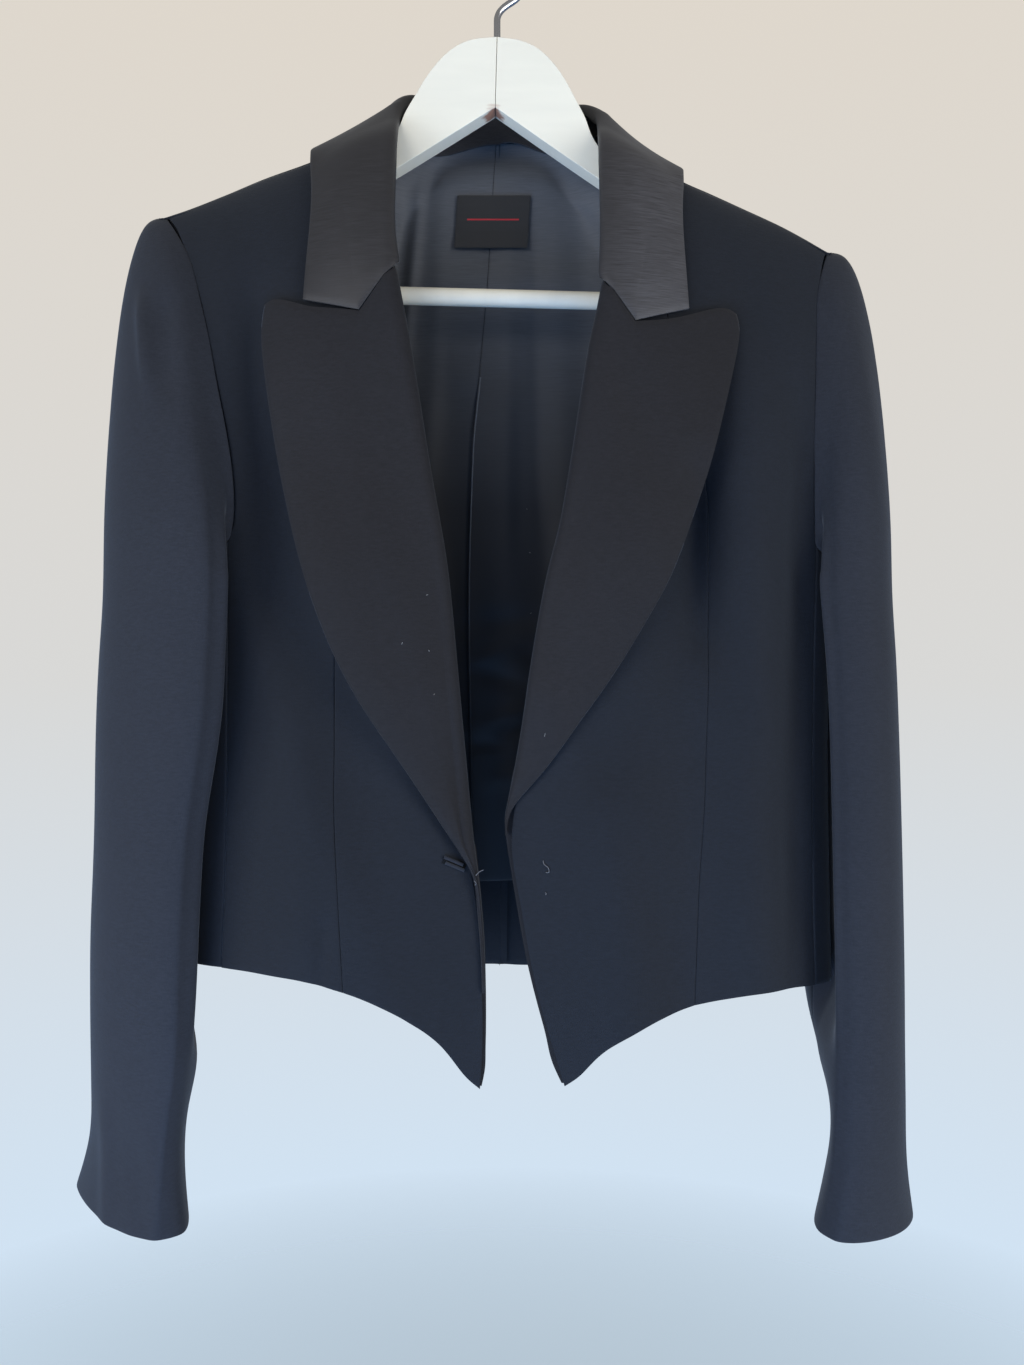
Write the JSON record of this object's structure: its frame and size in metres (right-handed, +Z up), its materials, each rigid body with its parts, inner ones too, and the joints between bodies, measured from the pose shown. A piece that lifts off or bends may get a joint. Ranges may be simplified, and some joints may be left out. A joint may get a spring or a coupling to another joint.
{
  "type": "tuxedo jacket on hanger",
  "caption": "Cropped tuxedo jacket with wide peak lapels, a satin collar and pointed fronts, hanging open on a painted wooden hanger with a trouser bar.",
  "frame": {"origin": "where the hanger's hook bears on what it hangs from, at the inside top of the hook", "axes": "+Z up, +X to the viewer's right when the front is seen (the wearer's left), -Y towards the front"},
  "size_m": [0.516, 0.1476, 0.7623],
  "materials": {
    "black_crepe": "matt woven crepe",
    "black_satin": "soft satin with a fine rib",
    "black_lining": "satin lining",
    "label_cloth": "matt woven tape",
    "white_paint": "white painted wood",
    "hook_metal": "polished wire"
  },
  "bodies": {
    "root": {"back_left": "black_crepe", "back_right": "black_crepe", "buttonhole_jet_lower": "black_crepe", "buttonhole_jet_upper": "black_crepe", "collar_leaf": "black_satin", "collar_stand": "black_crepe", "facing_left": "black_crepe", "facing_right": "black_crepe", "front_left": "black_crepe", "front_right": "black_crepe", "hanger_arm_left": "white_paint", "hanger_arm_right": "white_paint", "hem_facing_back": "black_crepe", "hook": "hook_metal", "label": "label_cloth", "lapel_left": "black_crepe", "lapel_right": "black_crepe", "lining_back_left": "black_lining", "lining_back_right": "black_lining", "side_front_left": "black_crepe", "side_front_right": "black_crepe", "side_left": "black_crepe", "side_right": "black_crepe", "sleeve_under_left": "black_crepe", "sleeve_under_right": "black_crepe", "sleeve_upper_left": "black_crepe", "sleeve_upper_right": "black_crepe", "trouser_bar": "white_paint"}
  },
  "joints": []
}
